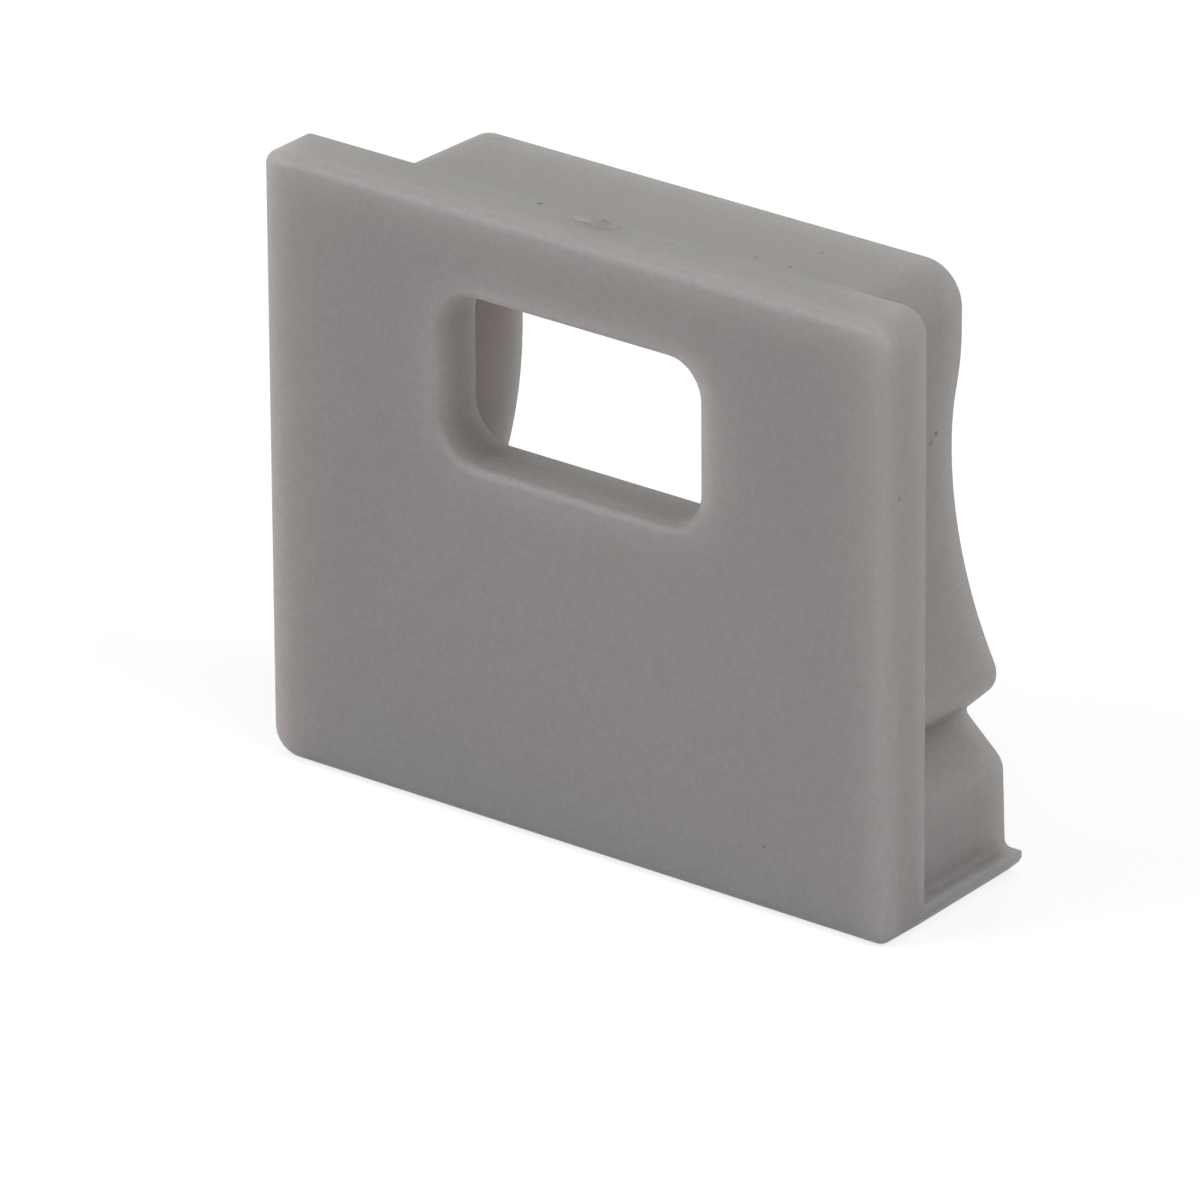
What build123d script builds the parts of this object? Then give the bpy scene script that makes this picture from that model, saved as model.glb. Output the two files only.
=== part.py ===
from build123d import *
import os
from math import radians, sqrt, tan

# Profile end cap with a cable hole, moulded in one piece. Millimetres.
# X runs across the face, +Y from the face into the profile, +Z up.
# The origin is the middle of the part's footprint, on the surface that it stands on.

# Face plate: the part that stays outside the profile and covers its end
face_width = 16.0
face_height = 13.57
face_thickness = 1.35
face_corner_radius = 0.55
face_edge_radius = 0.35

# Cable hole through the face plate
hole_width = 6.75
hole_height = 3.69
hole_corner_radius = 0.9
hole_rim_radius = 0.2
hole_centre_x = -0.12
hole_centre_z = 9.75

# Plug: the hollow part that is pressed into the profile, measured at its free end
plug_depth = 3.35
plug_wall = 1.28
plug_top = 13.02
draft_angle = 1.0
inner_corner_radius = 0.35

# Side of the plug, from the top down: shoulder, waist, flank and barb
shoulder_half_width = 6.41
shoulder_radius = 0.88
shoulder_base = 11.7
waist_half_width = 6.17
waist_height = 9.1
flank_radius = 10.0
barb_height = 4.18
barb_tip_radius = 0.57

# Groove and foot below the barb
groove_half_width = 6.53
groove_height = 3.28
groove_radius = 0.12
foot_half_width = 7.51
foot_height = 2.4
foot_radius = 0.5
foot_base_half_width = 7.57

# Lip along the foot, which covers the end of the profile's side wall
lip_thickness = 0.51
lip_root_radius = 0.15
lip_chamfer = 0.32

# Gate mark: the low stub left where the moulding gate was broken off the top edge of the face
gate_width = 1.3
gate_depth = 0.5
gate_height = 0.08
gate_corner_radius = 0.15
gate_centre_x = -0.3

# Places worked out from the dimensions above
front_y = -(face_thickness + plug_depth) / 2
seat_y = front_y + face_thickness
free_end_y = seat_y + plug_depth
half_face = face_width / 2
flank_drop = waist_height - barb_height
barb_half_width = waist_half_width + flank_radius - sqrt(flank_radius**2 - flank_drop**2)
sweep_half_width = (shoulder_half_width + waist_half_width) / 2
sweep_height = (shoulder_base + waist_height) / 2
draft_growth = plug_depth * tan(radians(draft_angle))


def across(y):
    """The plane across the part at depth y, seen from the front: it extrudes towards the front."""
    return Plane.XZ.offset(-y)


def both_sides(sketch, x, z):
    """The two corners of a sketch that lie x to each side of the middle, at height z."""
    return sketch.vertices().filter_by(lambda v: abs(abs(v.X) - x) < 0.01 and abs(v.Y - z) < 0.01)


# Outline of the plug at its free end, drawn on the right and mirrored
with BuildSketch(across(free_end_y)) as plug_outline:
    with BuildLine():
        Line((0, plug_top), (shoulder_half_width, plug_top))
        Line((shoulder_half_width, plug_top), (shoulder_half_width, shoulder_base))
        # the shoulder sweeps into the waist in two arcs, upright at both ends
        sweep = TangentArc((shoulder_half_width, shoulder_base), (sweep_half_width, sweep_height), tangent=(0, -1))
        TangentArc(sweep @ 1, (waist_half_width, waist_height), tangent=sweep % 1)
        # the flank flares out from the waist to the barb
        TangentArc((waist_half_width, waist_height), (barb_half_width, barb_height), tangent=(0, -1))
        Polyline(
            (barb_half_width, barb_height),
            (groove_half_width, groove_height),
            (foot_half_width, foot_height),
            (foot_base_half_width, lip_thickness),
            (half_face, lip_thickness),
            (half_face, lip_chamfer),
            (half_face - lip_chamfer, 0),
            (0, 0),
        )
        mirror(about=Plane.YZ)
    make_face()
    fillet(both_sides(plug_outline, shoulder_half_width, plug_top), shoulder_radius)
    fillet(both_sides(plug_outline, barb_half_width, barb_height), barb_tip_radius)
    fillet(both_sides(plug_outline, groove_half_width, groove_height), groove_radius)
    fillet(both_sides(plug_outline, foot_half_width, foot_height), foot_radius)
    fillet(both_sides(plug_outline, foot_base_half_width, lip_thickness), lip_root_radius)

with BuildPart() as end_cap:
    # plug: widest at the face, drawn in by the draft towards its free end
    with BuildSketch(across(seat_y)):
        add(plug_outline.sketch_local)
        offset(amount=draft_growth, kind=Kind.INTERSECTION)
    extrude(amount=-plug_depth, taper=draft_angle)

    # the foot and its lips stay flush with the edges of the face
    with BuildSketch(across(seat_y)):
        with Locations((0, face_height / 2)):
            Rectangle(face_width, face_height)
    extrude(amount=-plug_depth, mode=Mode.INTERSECT)

    # hollow: an even wall all round, open at the free end and drawn in towards the face;
    # offsetting past the wall and back again rounds its inner corners
    with BuildSketch(across(free_end_y)):
        add(plug_outline.sketch_local)
        offset(amount=-(plug_wall + inner_corner_radius), kind=Kind.INTERSECTION)
        offset(amount=inner_corner_radius, kind=Kind.ARC)
    extrude(amount=plug_depth, taper=draft_angle, mode=Mode.SUBTRACT)

    # face plate with its corners and its front edge rounded
    with BuildSketch(across(seat_y)):
        with Locations((0, face_height / 2)):
            RectangleRounded(face_width, face_height, face_corner_radius)
    extrude(amount=face_thickness)
    fillet(end_cap.faces().sort_by(Axis.Y)[0].edges(), face_edge_radius)

    # cable hole, with a soft rim on the front
    with BuildSketch(across(seat_y)):
        with Locations((hole_centre_x, hole_centre_z)):
            RectangleRounded(hole_width, hole_height, hole_corner_radius)
    extrude(amount=face_thickness, mode=Mode.SUBTRACT)
    fillet(end_cap.faces().sort_by(Axis.Y)[0].inner_wires().edges(), hole_rim_radius)

    # gate mark on the top edge of the face, against its back
    with BuildSketch(Plane.XY.offset(face_height)):
        with Locations((gate_centre_x, seat_y - gate_depth / 2)):
            RectangleRounded(gate_width, gate_depth, gate_corner_radius)
    extrude(amount=gate_height)

end_cap.part.label = "end_cap"

os.makedirs("parts", exist_ok=True)
export_step(end_cap.part, "parts/end_cap.step")
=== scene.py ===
from math import copysign, cos, pi, radians, sin, tan

import bmesh
import bpy
from bpy.props import FloatProperty, FloatVectorProperty, PointerProperty, StringProperty
from mathutils import Matrix, Vector, noise


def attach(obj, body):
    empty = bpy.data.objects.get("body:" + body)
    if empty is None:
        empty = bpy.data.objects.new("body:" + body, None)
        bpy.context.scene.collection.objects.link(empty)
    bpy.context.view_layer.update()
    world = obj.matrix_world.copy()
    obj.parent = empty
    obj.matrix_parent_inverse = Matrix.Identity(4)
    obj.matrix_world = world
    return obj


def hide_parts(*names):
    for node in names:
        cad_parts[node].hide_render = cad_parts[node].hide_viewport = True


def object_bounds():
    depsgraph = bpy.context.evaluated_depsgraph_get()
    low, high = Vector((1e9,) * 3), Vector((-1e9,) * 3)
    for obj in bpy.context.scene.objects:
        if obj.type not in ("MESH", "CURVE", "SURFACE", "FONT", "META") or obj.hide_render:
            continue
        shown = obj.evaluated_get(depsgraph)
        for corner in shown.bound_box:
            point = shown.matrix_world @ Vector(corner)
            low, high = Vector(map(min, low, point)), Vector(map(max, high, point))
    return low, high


bl_info = {
    "name": "Profile End Cap",
    "version": (1, 0, 0),
    "blender": (4, 5, 0),
    "location": "3D View > Sidebar > End Cap",
    "description": "Moulded end cap with a cable hole for a surface-mounted light profile",
    "category": "Object",
}

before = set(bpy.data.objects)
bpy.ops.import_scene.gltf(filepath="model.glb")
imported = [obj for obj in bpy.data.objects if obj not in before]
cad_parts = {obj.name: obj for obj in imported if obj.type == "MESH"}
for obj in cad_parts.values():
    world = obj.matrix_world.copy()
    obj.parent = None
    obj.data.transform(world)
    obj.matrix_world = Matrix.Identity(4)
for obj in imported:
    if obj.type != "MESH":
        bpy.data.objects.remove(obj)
cad_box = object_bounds()

NODE = "end_cap"
BODY = "root"
MM = 0.001

# The lengths from here to the panels are in millimetres.

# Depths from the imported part: the face is in front, the plug's free end behind
FRONT_Y = cad_box[0].y / MM
FREE_END_Y = cad_box[1].y / MM

# How far apart points may lie that are merged, and how far a point may lie from its plane or line
MERGED = 0.0005
IN_PLANE = 0.001
IN_LINE = 0.01
# The least turn between two faces, in radians, that makes their edge a sharp one
SHARP_TURN = 0.8
# Steps in a rounded corner of the face or the cable hole, and in a soft or a nearly sharp edge
FACE_CORNER_STEPS = 12
HOLE_CORNER_STEPS = 14
SOFT_EDGE_STEPS = 8
SHARP_EDGE_STEPS = 3
# How far the cable hole's body stands out of the back of the face plate
HOLE_PAST_BACK = 0.001

# The lips along the foot, flush with the sides of the face. The cut under them narrows towards the
# face, and the foot's underside lies a hair above the floor.
LIP_HALF_WIDTH = 7.998
LIP_WIDTH = 0.5
LIP_TOP = 0.51
LIP_EDGE = 0.03
LIP_CUT_AT_FACE = 0.2
FOOT_Z = 0.002

# The plug's outline at its free end, from the middle of its top round its right side.
# A line is (x, z). An arc is (centre x, centre z, degrees, steps); clockwise is positive.
PLUG_TOP = 13.02
PLUG_OUTSIDE = (
    (5.53, PLUG_TOP),
    (5.53, 12.14, 90, 12),         # shoulder corner
    (6.41, 11.7),
    (-0.692, 11.7, 10.55, 6),      # sweep from the shoulder
    (13.272, 9.1, -10.55, 6),      # into the waist
    (16.17, 9.1, -27.06, 18),      # flank
    (6.757, 4.291, 73.13, 12),     # barb
    (6.623, 3.37),
    (6.706, 3.283, -94.14, 6),     # groove
    (7.351, 2.543),
    (7.017, 2.171, 46.26, 6),      # foot
    (7.565, 0.655),
    (7.715, 0.66, -88.18, 6),      # root of the lip
    (LIP_HALF_WIDTH - LIP_EDGE, LIP_TOP),
    (LIP_HALF_WIDTH - LIP_EDGE, LIP_TOP - LIP_EDGE, 90, 3),    # edge of the lip
    (LIP_HALF_WIDTH, 0.36),
    (7.93, 0.24),                  # cut under the lip
    (7.68, FOOT_Z),
    (0.0, FOOT_Z),
)
# The hollow, an even wall inside the plug's outline
HOLLOW_TOP = 11.74
PLUG_INSIDE = (
    (4.771, HOLLOW_TOP),
    (4.771, 11.39, 93.25, 8),      # upper corner
    (-0.692, 11.7, 7.3, 5),        # sweep
    (13.272, 9.1, -10.55, 6),
    (16.17, 9.1, -23.15, 14),      # flank
    (5.476, 4.528, 68.5, 8),       # behind the barb
    (6.706, 3.283, -93.43, 14),    # round the groove
    (6.137, 1.913),
    (5.903, 1.652, 46.26, 4),
    (6.253, 1.641),
    (5.904, 1.63, 91.82, 8),       # lower corner
    (0.0, 1.28),
)
# The draft makes the plug wider and the hollow narrower towards the face. Sides at these distances
# from the middle move by the full draft.
PLUG_HALF_WIDTH = 6.8
HOLLOW_REACH = 5.2
HOLLOW_MIDDLE_Z = 6.5
# How far the plug reaches into the face plate
PLUG_OVERLAP = 0.05

# The gate's stub: how far its rim lies under the surface and its root under the rim, and how far the
# back of the face plate lies behind it
STUB_RIM = 0.03
STUB_ROOT = 0.12
STUB_TO_BACK = 0.05
# Its steps across and in depth
STUB_STEPS = (52, 20)
# Its mean height before it is scaled to size, and how strongly the tears change it
STUB_MEAN = 0.65
STUB_TORN = 0.5
# Its coarse and its fine tears: how many to a millimetre across and in depth, layer and strength
STUB_TEARS = (
    (3, 4, 3.0, 1.0),
    (9, 11, 7.0, 0.3),
)

# The white card: how far it lies under the part, and half its width
CARD_GAP = 0.02
CARD_REACH = 3000.0

# Specks of burnt plastic: x, y, z and radius, and how dark each one is from 0 to 1
SPECKS = (
    (-1.62, -1.19, 13.57, 0.11, 1.0),    # top of the face plate
    (3.70, 0.18, 13.06, 0.075, 0.7),     # top of the plug
    (2.87, 0.15, 13.06, 0.08, 0.4),
    (3.74, 1.20, 13.04, 0.055, 0.7),
    (4.93, -2.35, 1.47, 0.055, 0.6),     # front
    (8.00, -1.90, 9.80, 0.08, 0.4),      # right side of the face plate
    (6.19, 1.77, 9.51, 0.085, 0.8),      # right side of the plug
    (6.19, 1.60, 9.35, 0.085, 0.5),
    (0.71, -1.11, 7.91, 0.07, 0.6),      # floor of the cable hole
    (-3.50, -1.15, 8.43, 0.10, 0.7),     # left wall of the cable hole
)
# The share of its radius within which a speck is at its darkest
SPECK_CORE = 0.2

# Soft square panels that face the part: name, place and width in metres, radiance and colour
PANELS = (
    ("left_front_panel", (-0.14, -0.15, 0.14), 0.14, 4.94, "#F4F7FF"),
    ("left_rear_panel", (-0.14, 0.12, 0.16), 0.14, 0.86, "#F7FFE5"),
    ("overhead_panel", (0, 0, 0.25), 0.2, 1.20, "#F6F9FF"),
    ("right_front_panel", (0.18, -0.17, 0.07), 0.14, 2.94, "#FEF5FF"),
    ("right_high_panel", (0.18, 0.0, 0.18), 0.14, 3.78, "#FCFDFF"),
)
PANEL_AIM = (0.0, 0.0, 0.007)
# How strongly the white card glows where it is seen directly; 1 is full white
CARD_GLOW = 0.72
# Width of the camera's sensor in millimetres
SENSOR_WIDTH = 36.0


# ---------------------------------------------------------------- sizes and finishes

def place_of(name, description, millimetres, **limits):
    """A place along an axis that a user may change, with its default in millimetres."""
    return FloatProperty(
        name=name, description=description, default=millimetres * MM,
        unit="LENGTH", subtype="DISTANCE", precision=5, **limits,
    )


def size_of(name, description, millimetres):
    """A length that a user may change, with its default in millimetres."""
    return place_of(name, description, millimetres, min=0.0)


def turn_of(name, description, degrees):
    """An angle that a user may change, with its default in degrees."""
    return FloatProperty(
        name=name, description=description, default=radians(degrees),
        unit="ROTATION", subtype="ANGLE", precision=3,
    )


def hex_of(name, description, value):
    """A colour that a user may change, as an sRGB hex value."""
    return StringProperty(name=name, description=description, default=value, maxlen=7)


class FaceSizes(bpy.types.PropertyGroup):
    """Sizes of the face plate and its cable hole"""

    width: size_of("Width", "Width of the face plate", 16.0)
    height: size_of("Height", "Height of the face plate", 13.57)
    thickness: size_of("Thickness", "Thickness of the face plate", 1.35)
    edge_radius: size_of("Front edge", "Radius of the edge round the face", 0.28)
    back_edge: size_of("Back edge", "Radius of the edge round the back of the face plate", 0.03)
    top_left: size_of("Top left corner", "Radius of this corner of the face", 0.32)
    top_right: size_of("Top right corner", "Radius of this corner of the face", 0.55)
    bottom_left: size_of("Bottom left corner", "Radius of this corner of the face", 0.65)
    bottom_right: size_of("Bottom right corner", "Radius of this corner of the face", 0.32)
    hole_width: size_of("Hole width", "Width of the cable hole", 6.75)
    hole_height: size_of("Hole height", "Height of the cable hole", 3.69)
    hole_corner: size_of("Hole corner", "Radius of three of the cable hole's corners", 0.9)
    hole_top_right: size_of("Hole top right corner", "Radius of this corner of the cable hole", 0.8)
    hole_draft: size_of("Hole draft", "How much narrower the cable hole is in front than behind", 0.11)
    hole_rim: size_of("Hole rim", "Radius of the edge round the cable hole", 0.22)
    hole_x: place_of("Hole across", "Middle of the cable hole, across the face", -0.12)
    hole_z: place_of("Hole up", "Middle of the cable hole, above the foot", 9.75)


class PlugSizes(bpy.types.PropertyGroup):
    """Sizes of the hollow plug behind the face"""

    draft: turn_of("Draft", "How far the plug's sides lean in towards its free end", 1.0)
    end_edge: size_of("End edges", "Radius of the edges at the plug's free end", 0.03)


class GateSizes(bpy.types.PropertyGroup):
    """Sizes of the stub that the moulding gate left on the top edge of the face"""

    width: size_of("Width", "Width of the stub", 1.3)
    depth: size_of("Depth", "Depth of the stub, front to back", 0.62)
    height: size_of("Height", "Height of the stub", 0.08)
    across: place_of("Across", "Middle of the stub, across the face", -0.15)


class CapColours(bpy.types.PropertyGroup):
    """Colours of the moulded plastic"""

    base: hex_of("Plastic", "Colour of the plastic", "#93908D")
    # painted shade: the darker mottling colour stands in for the shade in the pits of the spark-eroded
    # grain
    pit_shade: hex_of("Mottling", "Colour of the darker pigment mottling", "#8D8985")
    speck: hex_of("Specks", "Colour of the burnt specks", "#4E4A46")
    scar: hex_of("Gate scar", "Colour of the torn plastic at the gate", "#A19D9A")


class Studio(bpy.types.PropertyGroup):
    """Camera and light of the stage"""

    camera_at: FloatVectorProperty(
        name="Camera", description="Place of the camera",
        default=(0.1537125, -0.1978292, 0.1158911),
        subtype="TRANSLATION", unit="LENGTH", precision=5,
    )
    azimuth: turn_of("Azimuth", "Turn of the camera round the part from straight in front", 38.0421)
    elevation: turn_of("Elevation", "Height of the camera over the horizon", 23.9139)
    roll: turn_of("Roll", "Roll of the camera", 0.3757)
    lens: FloatProperty(
        name="Lens", description="Focal length of the camera",
        default=400.54, min=1.0, subtype="DISTANCE_CAMERA",
    )
    light: FloatProperty(
        name="Light", description="Strength of all the panels together", default=1.0, min=0.0,
    )


# ---------------------------------------------------------------- nodes

def linear(hex_colour):
    """An sRGB hex value as a linear colour with full alpha."""
    parts = [int(hex_colour[i:i + 2], 16) / 255 for i in (1, 3, 5)]
    return [c / 12.92 if c <= 0.04045 else ((c + 0.055) / 1.055) ** 2.4 for c in parts] + [1.0]


def add_node(tree, kind, values=None, links=None):
    """Adds a node; values and links go to its properties or, by name or number, to its inputs."""
    made = tree.nodes.new(kind)
    inputs = {}
    for key, value in (values or {}).items():
        if isinstance(key, str) and hasattr(made, key):
            setattr(made, key, value)
        else:
            inputs[key] = value
    for key, value in inputs.items():
        made.inputs[key].default_value = value
    for key, output in (links or {}).items():
        tree.links.new(output, made.inputs[key])
    return made


def new_material(name):
    """A node material with nothing in it yet, and its tree."""
    material = bpy.data.materials.new(name)
    material.use_nodes = True
    tree = material.node_tree
    tree.nodes.clear()
    return material, tree


def seen_directly(tree):
    """1 for what the camera sees itself, in a mirror or through glass, and otherwise 0."""
    path = add_node(tree, "ShaderNodeLightPath")
    seen = path.outputs["Is Camera Ray"]
    for ray in ("Is Glossy Ray", "Is Transmission Ray"):
        either = add_node(
            tree, "ShaderNodeMath", {"operation": "MAXIMUM"}, {0: seen, 1: path.outputs[ray]},
        )
        seen = either.outputs["Value"]
    return seen


# ---------------------------------------------------------------- materials

def burnt_specks(tree, spot):
    """How much of each place is covered by a speck of burnt plastic, from 0 to 1."""
    cover = None
    for x, y, z, radius, strength in SPECKS:
        away = add_node(
            tree, "ShaderNodeVectorMath",
            {"operation": "DISTANCE", 1: (x * MM, y * MM, z * MM)}, {0: spot},
        )
        speck = add_node(
            tree, "ShaderNodeMapRange",
            {
                "interpolation_type": "SMOOTHSTEP",
                "From Min": radius * MM, "From Max": SPECK_CORE * radius * MM, "To Max": strength,
            },
            {"Value": away.outputs["Value"]},
        ).outputs["Result"]
        if cover:
            either = add_node(
                tree, "ShaderNodeMath", {"operation": "MAXIMUM"}, {0: cover, 1: speck},
            )
            speck = either.outputs["Value"]
        cover = speck
    return cover


def grey_moulded_plastic(colours):
    """Polycarbonate blend, injection moulded in a spark-eroded mould.

    The eye sees an even, matte grey with a fine grain and a few dark specks. Light sinks in, so that
    edges glow a little and the shading stays soft.
    """
    material, tree = new_material("grey_moulded_plastic")
    spot = add_node(tree, "ShaderNodeTexCoord").outputs["Object"]
    # painted shade: a darker mottling from 0.15 mm down to 0.02 mm, most of it fine, stands in for the
    # shade in the pits of the grain
    shaded = add_node(
        tree, "ShaderNodeTexNoise",
        {"Scale": 1 / (0.15 * MM), "Detail": 3.0, "Roughness": 0.9},
        {"Vector": spot},
    )
    pit_shade_mask = add_node(
        tree, "ShaderNodeMapRange",
        {"From Min": 0.35, "From Max": 0.65},
        {"Value": shaded.outputs["Fac"]},
    )
    pit_shaded = add_node(
        tree, "ShaderNodeMix",
        {"data_type": "RGBA", 6: linear(colours.base), 7: linear(colours.pit_shade)},
        {0: pit_shade_mask.outputs["Result"]},
    )
    specked = add_node(
        tree, "ShaderNodeMix",
        {"data_type": "RGBA", 7: linear(colours.speck)},
        {0: burnt_specks(tree, spot), 6: pit_shaded.outputs[2]},
    )
    # spark-eroded grain with pits about 0.1 mm apart
    grain = add_node(
        tree, "ShaderNodeTexNoise",
        {"Scale": 1 / (0.1 * MM), "Detail": 2.0, "Roughness": 0.6},
        {"Vector": spot},
    ).outputs["Fac"]
    relief = add_node(
        tree, "ShaderNodeBump", {"Strength": 0.5, "Distance": 0.02 * MM}, {"Height": grain},
    )
    roughness = add_node(
        tree, "ShaderNodeMapRange", {"To Min": 0.5, "To Max": 0.62}, {"Value": grain},
    )
    # most of the light sinks in and comes out spread over some millimetres
    plastic = add_node(
        tree, "ShaderNodeBsdfPrincipled",
        {
            "IOR": 1.5,
            "Subsurface Weight": 0.75,
            "Subsurface Radius": (6.0, 5.05, 4.4),
            "Subsurface Scale": MM,
        },
        {
            "Base Color": specked.outputs[2],
            "Roughness": roughness.outputs["Result"],
            "Normal": relief.outputs["Normal"],
        },
    )
    add_node(tree, "ShaderNodeOutputMaterial", links={"Surface": plastic.outputs["BSDF"]})
    return material


def torn_plastic(colours):
    """The same plastic where the gate was broken off.

    The tear leaves short fibres, too thin to hold light, so the eye sees a dull patch with pale
    flecks.
    """
    material, tree = new_material("torn_plastic")
    spot = add_node(tree, "ShaderNodeTexCoord").outputs["Object"]
    # fibres about 0.25 mm apart
    tear = add_node(
        tree, "ShaderNodeTexNoise",
        {"Scale": 1 / (0.25 * MM), "Detail": 2.0, "Roughness": 0.5},
        {"Vector": spot},
    )
    fleck = add_node(
        tree, "ShaderNodeMapRange",
        {"From Min": 0.4, "From Max": 0.65},
        {"Value": tear.outputs["Fac"]},
    )
    # the dull ground between the pale flecks takes the darker colour that elsewhere paints the shade in
    # the grain's pits
    colour = add_node(
        tree, "ShaderNodeMix",
        {"data_type": "RGBA", 6: linear(colours.pit_shade), 7: linear(colours.scar)},
        {0: fleck.outputs["Result"]},
    )
    plastic = add_node(
        tree, "ShaderNodeBsdfPrincipled",
        {"Roughness": 0.7, "IOR": 1.5},
        {"Base Color": colour.outputs[2]},
    )
    add_node(tree, "ShaderNodeOutputMaterial", links={"Surface": plastic.outputs["BSDF"]})
    return material


def white_card():
    """Matte white card under the part. It keeps a faint shadow and otherwise looks white."""
    material, tree = new_material("white_card")
    card = add_node(tree, "ShaderNodeBsdfDiffuse", {"Color": linear("#E6E6E6")})
    shade = add_node(tree, "ShaderNodeBsdfDiffuse", {"Color": linear("#B3B3B3")})
    glow = add_node(tree, "ShaderNodeEmission", {"Color": linear("#FFFFFF"), "Strength": CARD_GLOW})
    seen = add_node(tree, "ShaderNodeAddShader", links={0: shade.outputs[0], 1: glow.outputs[0]})
    pick = add_node(
        tree, "ShaderNodeMixShader",
        links={0: seen_directly(tree), 1: card.outputs[0], 2: seen.outputs[0]},
    )
    add_node(tree, "ShaderNodeOutputMaterial", links={"Surface": pick.outputs[0]})
    return material


# ---------------------------------------------------------------- solids, worked in millimetres

def in_mm(metres):
    """A length in millimetres."""
    return metres / MM


def move(mesh, x, y, z, verts=None):
    """Moves all the vertices of a mesh, or some of them."""
    bmesh.ops.translate(mesh, vec=(x, y, z), verts=mesh.verts if verts is None else verts)


def extruded(mesh):
    """Extrudes all the faces of a mesh on the spot, and gives the new vertices."""
    drawn = bmesh.ops.extrude_face_region(mesh, geom=mesh.faces[:], use_keep_orig=True)
    return [item for item in drawn["geom"] if isinstance(item, bmesh.types.BMVert)]


def draw_outline(mesh, start_z, stretches):
    """Draws the right half of an outline across the part, mirrors it and fills it with one face."""
    tip = mesh.verts.new((0, 0, start_z))
    for stretch in stretches:
        if len(stretch) == 2:
            end = mesh.verts.new((stretch[0], 0, stretch[1]))
            mesh.edges.new((tip, end))
            tip = end
            continue
        centre_x, centre_z, degrees, steps = stretch
        turned = bmesh.ops.spin(
            mesh, geom=[tip], cent=(centre_x, 0, centre_z), axis=(0, 1, 0), dvec=(0, 0, 0),
            angle=radians(degrees), steps=steps, use_duplicate=False,
        )
        tip = next(item for item in turned["geom_last"] if isinstance(item, bmesh.types.BMVert))
    bmesh.ops.mirror(
        mesh, geom=mesh.verts[:] + mesh.edges[:], matrix=Matrix.Identity(4), merge_dist=MERGED, axis="X",
    )
    bmesh.ops.remove_doubles(mesh, verts=mesh.verts, dist=MERGED)
    bmesh.ops.contextual_create(mesh, geom=mesh.edges[:])
    if len(mesh.faces) != 1:
        raise RuntimeError("the outline isn't closed")


def draw_out(mesh, start_y, end_y, growth, middle_z, reach_x, reach_z):
    """Draws the outline's face out from one depth to another. Each side gains the growth on the way."""
    move(mesh, 0, start_y, 0)
    far = extruded(mesh)
    move(mesh, 0, end_y - start_y, 0, far)
    bmesh.ops.scale(
        mesh, vec=(1 + growth / reach_x, 1, 1 + growth / reach_z), verts=far,
        space=Matrix.Translation((0, 0, -middle_z)),
    )
    bmesh.ops.recalc_face_normals(mesh, faces=mesh.faces)


def block(width, depth, height, x, y, z):
    """A block round its middle."""
    mesh = bmesh.new()
    bmesh.ops.create_cube(mesh, size=1.0)
    bmesh.ops.scale(mesh, vec=(width, depth, height), verts=mesh.verts)
    move(mesh, x, y, z)
    return mesh


def round_edges(mesh, edges, radius, segments):
    """Rounds edges whose faces meet at a right angle."""
    if not edges:
        raise RuntimeError("there is no edge to round")
    bmesh.ops.bevel(
        mesh, geom=edges, offset=radius, offset_type="OFFSET", affect="EDGES",
        segments=segments, profile=0.5, material=-1,
    )


def edges_through(mesh, x, z):
    """The edges of a block that run front to back through a place across the part."""
    return [
        edge for edge in mesh.edges
        if all(abs(vert.co.x - x) < IN_LINE and abs(vert.co.z - z) < IN_LINE for vert in edge.verts)
    ]


def sharp_edges_at(mesh, y):
    """The sharp edges that lie in the plane at depth y."""
    return [
        edge for edge in mesh.edges
        if all(abs(vert.co.y - y) <= IN_PLANE for vert in edge.verts)
        and edge.calc_face_angle(0.0) >= SHARP_TURN
    ]


def edges_within(edges, x, z, width, height):
    """Those of the edges that lie in a window across the part, given by its middle and size."""
    return [
        edge for edge in edges
        if all(
            abs(vert.co.x - x) <= width / 2 + IN_LINE and abs(vert.co.z - z) <= height / 2 + IN_LINE
            for vert in edge.verts
        )
    ]


def object_from(mesh, name):
    """Puts a mesh into a new object of the scene."""
    data = bpy.data.meshes.new(name)
    mesh.to_mesh(data)
    mesh.free()
    made = bpy.data.objects.new(name, data)
    bpy.context.scene.collection.objects.link(made)
    return made


def combine(first, second, operation):
    """The mesh that two solids make together; the solids themselves are used up."""
    body, tool = object_from(first, "body"), object_from(second, "tool")
    boolean = body.modifiers.new("combine", "BOOLEAN")
    boolean.operation = operation
    boolean.solver = "EXACT"
    boolean.object = tool
    result = bmesh.new()
    result.from_object(body, bpy.context.evaluated_depsgraph_get())
    for used in (body, tool):
        data = used.data
        bpy.data.objects.remove(used)
        bpy.data.meshes.remove(data)
    bmesh.ops.remove_doubles(result, verts=result.verts, dist=MERGED)
    return result


# ---------------------------------------------------------------- the cap's own shapes

def back_of(face):
    """Depth of the back of the face plate."""
    return FRONT_Y + in_mm(face.thickness)


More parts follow.
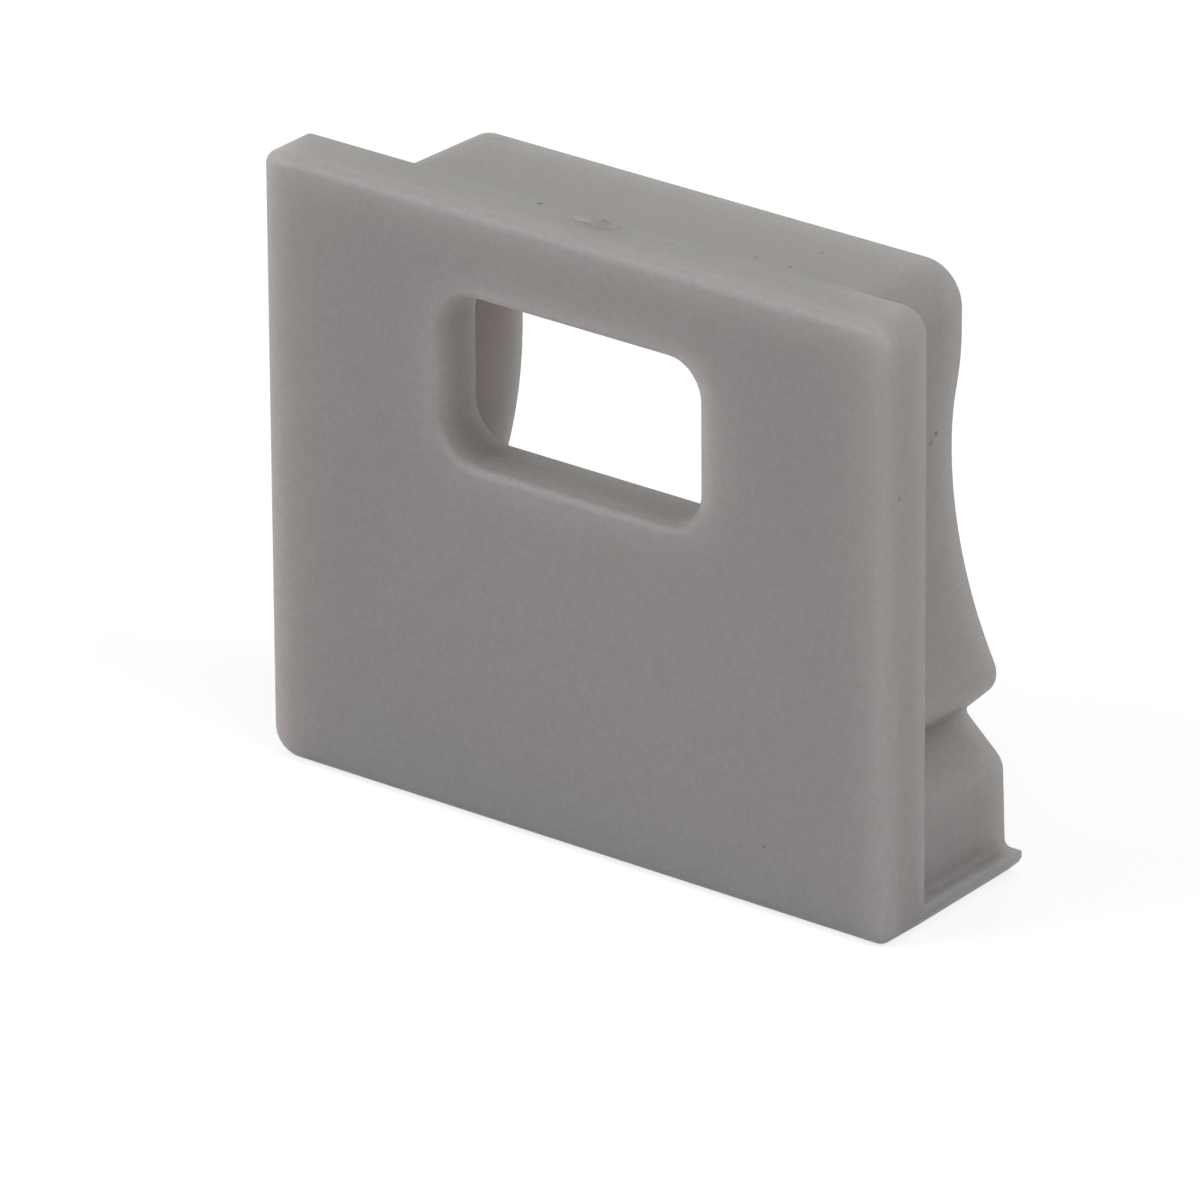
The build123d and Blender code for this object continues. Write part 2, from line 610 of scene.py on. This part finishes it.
def build_plate(face):
    """The face plate with its rounded corners, its cable hole and their soft edges."""
    width, height, thickness = in_mm(face.width), in_mm(face.height), in_mm(face.thickness)
    plate = block(width, thickness, height, 0, FRONT_Y + thickness / 2, height / 2)
    for x, z, radius in (
        (-width / 2, height, face.top_left),
        (width / 2, height, face.top_right),
        (-width / 2, 0, face.bottom_left),
        (width / 2, 0, face.bottom_right),
    ):
        round_edges(plate, edges_through(plate, x, z), in_mm(radius), FACE_CORNER_STEPS)
    round_edges(plate, sharp_edges_at(plate, FRONT_Y), in_mm(face.edge_radius), SOFT_EDGE_STEPS)
    round_edges(plate, sharp_edges_at(plate, back_of(face)), in_mm(face.back_edge), SHARP_EDGE_STEPS)

    plate = combine(plate, hole_through(face), "DIFFERENCE")
    rim = edges_within(
        sharp_edges_at(plate, FRONT_Y),
        in_mm(face.hole_x), in_mm(face.hole_z), in_mm(face.hole_width), in_mm(face.hole_height),
    )
    round_edges(plate, rim, in_mm(face.hole_rim), SOFT_EDGE_STEPS)
    return plate


def hole_through(face):
    """The body of the cable hole. It stands out of both sides of the face plate."""
    width, height, thickness = in_mm(face.hole_width), in_mm(face.hole_height), in_mm(face.thickness)
    x, z = in_mm(face.hole_x), in_mm(face.hole_z)
    left, right = x - width / 2, x + width / 2
    low, high = z - height / 2, z + height / 2
    hole = block(width, 2 * thickness, height, x, FRONT_Y, z)
    for corner_x, corner_z, radius in (
        (left, low, face.hole_corner),
        (left, high, face.hole_corner),
        (right, low, face.hole_corner),
        (right, high, face.hole_top_right),
    ):
        round_edges(hole, edges_through(hole, corner_x, corner_z), in_mm(radius), HOLE_CORNER_STEPS)
    # The left wall leans. The hole is twice as deep as the plate, so its front end moves twice as far.
    bmesh.ops.scale(
        hole, vec=(1 - 2 * in_mm(face.hole_draft) / width, 1, 1),
        verts=[vert for vert in hole.verts if vert.co.y < FRONT_Y],
        space=Matrix.Translation((-right, 0, 0)),
    )
    move(hole, 0, HOLE_PAST_BACK, 0, [vert for vert in hole.verts if vert.co.y > FRONT_Y])
    return hole


def build_plug(plug, seat_y):
    """The hollow plug, reaching just into the face plate that carries it."""
    depth = FREE_END_Y - seat_y + PLUG_OVERLAP
    growth = depth * tan(plug.draft)
    outside = bmesh.new()
    draw_outline(outside, PLUG_TOP, PLUG_OUTSIDE)
    draw_out(outside, FREE_END_Y, FREE_END_Y - depth, growth, 0.0, PLUG_HALF_WIDTH, PLUG_TOP)
    # the lips stay flush with the sides of the face, and the cut under them narrows towards it
    for vert in outside.verts:
        if vert.co.y < seat_y and vert.co.z < IN_LINE and abs(vert.co.x) > LIP_HALF_WIDTH - LIP_WIDTH:
            vert.co.x = copysign(LIP_HALF_WIDTH - LIP_CUT_AT_FACE, vert.co.x)
        vert.co.x = max(-LIP_HALF_WIDTH, min(LIP_HALF_WIDTH, vert.co.x))
    # the hollow's body stands out of both ends of the plug
    inside = bmesh.new()
    draw_outline(inside, HOLLOW_TOP, PLUG_INSIDE)
    inner_depth = depth + 2 * PLUG_OVERLAP
    draw_out(
        inside, FREE_END_Y + PLUG_OVERLAP, FREE_END_Y + PLUG_OVERLAP - inner_depth,
        -inner_depth * tan(plug.draft), HOLLOW_MIDDLE_Z, HOLLOW_REACH, HOLLOW_REACH,
    )
    tube = combine(outside, inside, "DIFFERENCE")
    round_edges(tube, sharp_edges_at(tube, FREE_END_Y), in_mm(plug.end_edge), SHARP_EDGE_STEPS)
    return tube


def torn_stub(width, depth, height):
    """A low, uneven patch whose rim lies just under the surface that it stands on."""
    stub = bmesh.new()
    bmesh.ops.create_grid(stub, x_segments=STUB_STEPS[0], y_segments=STUB_STEPS[1], size=0.5)
    for vert in stub.verts:
        # it fades out at both ends, rises slowly from the front and drops quickly at the back
        fade = (1 - (2 * vert.co.x) ** 4) * sin(pi * (vert.co.y + 0.5) ** 2)
        x, y = width * vert.co.x, depth * vert.co.y
        tear = sum(
            strength * noise.noise((across * x, along * y, layer))
            for across, along, layer, strength in STUB_TEARS
        )
        vert.co.z = fade * (STUB_MEAN + STUB_TORN * tear)
    highest = max(vert.co.z for vert in stub.verts)
    bmesh.ops.scale(stub, vec=(width, depth, (height + STUB_RIM) / highest), verts=stub.verts)
    move(stub, 0, 0, -STUB_RIM)
    move(stub, 0, 0, -STUB_ROOT, extruded(stub))
    return stub


def finish_piece(mesh, name, material, smooth_degrees):
    """Makes the finished piece: true size, smooth faces, sharp edges kept, riding on its body."""
    bmesh.ops.scale(mesh, vec=(MM, MM, MM), verts=mesh.verts)
    bmesh.ops.recalc_face_normals(mesh, faces=mesh.faces)
    piece = object_from(mesh, name)
    piece.data.polygons.foreach_set("use_smooth", [True] * len(piece.data.polygons))
    piece.data.set_sharp_from_angle(angle=radians(smooth_degrees))
    weighted = piece.modifiers.new("flat_faces_stay_flat", "WEIGHTED_NORMAL")
    weighted.keep_sharp = True
    weighted.weight = 80
    piece.data.materials.append(material)
    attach(piece, BODY)
    return piece


# ---------------------------------------------------------------- operators

class AddMoulding(bpy.types.Operator):
    """Add the moulded cap: face plate, cable hole, hollow plug, barbs, foot and lips"""

    bl_idname = "end_cap.add_moulding"
    bl_label = "Moulded Cap"
    bl_options = {"REGISTER", "UNDO"}

    def execute(self, context):
        scene = context.scene
        plate = build_plate(scene.cap_face)
        plug = build_plug(scene.cap_plug, back_of(scene.cap_face))
        cap = combine(plate, plug, "UNION")
        plastic = grey_moulded_plastic(scene.cap_colours)
        piece = finish_piece(cap, "moulded_cap", plastic, smooth_degrees=32)
        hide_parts(NODE)
        return {"FINISHED"}


class AddGateScar(bpy.types.Operator):
    """Add the torn stub that the moulding gate left on the top edge of the face"""

    bl_idname = "end_cap.add_gate_scar"
    bl_label = "Gate Scar"
    bl_options = {"REGISTER", "UNDO"}

    def execute(self, context):
        scene = context.scene
        gate, face = scene.cap_gate, scene.cap_face
        depth = in_mm(gate.depth)
        stub = torn_stub(in_mm(gate.width), depth, in_mm(gate.height))
        move(stub, in_mm(gate.across), back_of(face) - STUB_TO_BACK - depth / 2, in_mm(face.height))
        finish_piece(stub, "gate_scar", torn_plastic(scene.cap_colours), smooth_degrees=40)
        return {"FINISHED"}


class AddStage(bpy.types.Operator):
    """Add the white card, the white backdrop, the soft panels and the camera"""

    bl_idname = "end_cap.add_stage"
    bl_label = "Stage"
    bl_options = {"REGISTER", "UNDO"}

    def execute(self, context):
        scene = context.scene
        studio = scene.cap_studio
        self.add_card()
        self.add_backdrop(scene)
        for name, place, width, radiance, colour in PANELS:
            self.add_panel(scene, name, place, width, radiance * studio.light, colour)
        self.add_camera(scene, studio)
        scene.view_settings.view_transform = "Standard"
        return {"FINISHED"}

    def add_card(self):
        """The floor under the part."""
        mesh = bmesh.new()
        bmesh.ops.create_grid(mesh, x_segments=1, y_segments=1, size=CARD_REACH * MM)
        move(mesh, 0, 0, -CARD_GAP * MM)
        card = object_from(mesh, "white_card")
        card.data.materials.append(white_card())

    def add_backdrop(self, scene):
        """A world that looks white, in mirror images too, but sheds no light on matte surfaces."""
        world = bpy.data.worlds.new("white_backdrop")
        world.use_nodes = True
        tree = world.node_tree
        tree.nodes.clear()
        white = add_node(
            tree, "ShaderNodeBackground", {"Color": linear("#FFFFFF")}, {"Strength": seen_directly(tree)},
        )
        add_node(tree, "ShaderNodeOutputWorld", links={"Surface": white.outputs[0]})
        scene.world = world

    def add_panel(self, scene, name, place, width, radiance, colour):
        """A square soft panel that faces the part."""
        data = bpy.data.lights.new(name, "AREA")
        data.shape = "SQUARE"
        data.size = width
        # an area lamp of this power has the radiance asked for
        data.energy = radiance * pi * width * width
        data.color = linear(colour)[:3]
        lamp = bpy.data.objects.new(name, data)
        lamp.location = place
        lamp.rotation_mode = "QUATERNION"
        lamp.rotation_quaternion = (Vector(place) - Vector(PANEL_AIM)).to_track_quat("Z", "Y")
        scene.collection.objects.link(lamp)

    def add_camera(self, scene, studio):
        """The camera, turned by azimuth, elevation and roll."""
        azimuth, elevation, roll = studio.azimuth, studio.elevation, studio.roll
        level = cos(elevation)
        back = Vector((sin(azimuth) * level, -cos(azimuth) * level, sin(elevation)))
        across = Vector((cos(azimuth), sin(azimuth), 0.0))
        down = (-back).cross(across)
        right = cos(roll) * across + sin(roll) * down
        up = sin(roll) * across - cos(roll) * down
        data = bpy.data.cameras.new("camera")
        data.lens = studio.lens
        data.sensor_width = SENSOR_WIDTH
        data.clip_start, data.clip_end = 0.01, 10.0
        camera = bpy.data.objects.new("camera", data)
        turn = Matrix((right, up, back)).transposed()
        camera.matrix_world = Matrix.Translation(studio.camera_at) @ turn.to_4x4()
        scene.collection.objects.link(camera)
        scene.camera = camera


class END_CAP_PT_panel(bpy.types.Panel):
    """Lists the pieces of the end cap and their sizes"""

    bl_label = "End Cap"
    bl_idname = "END_CAP_PT_panel"
    bl_space_type = "VIEW_3D"
    bl_region_type = "UI"
    bl_category = "End Cap"

    def draw(self, context):
        layout = self.layout
        for operator in OPERATORS:
            layout.operator(operator.bl_idname)
        for group in SETTINGS:
            box = layout.box()
            settings = getattr(context.scene, group)
            for key in settings.__annotations__:
                box.prop(settings, key)


OPERATORS = (AddMoulding, AddGateScar, AddStage)
SETTINGS = {
    "cap_face": FaceSizes,
    "cap_plug": PlugSizes,
    "cap_gate": GateSizes,
    "cap_colours": CapColours,
    "cap_studio": Studio,
}


def register():
    for key, group in SETTINGS.items():
        bpy.utils.register_class(group)
        setattr(bpy.types.Scene, key, PointerProperty(type=group))
    for operator in OPERATORS:
        bpy.utils.register_class(operator)
    bpy.utils.register_class(END_CAP_PT_panel)


def unregister():
    bpy.utils.unregister_class(END_CAP_PT_panel)
    for operator in reversed(OPERATORS):
        bpy.utils.unregister_class(operator)
    for key, group in reversed(SETTINGS.items()):
        delattr(bpy.types.Scene, key)
        bpy.utils.unregister_class(group)


def main():
    register()
    bpy.ops.end_cap.add_moulding()
    bpy.ops.end_cap.add_gate_scar()
    bpy.ops.end_cap.add_stage()


if __name__ == "__main__":
    main()
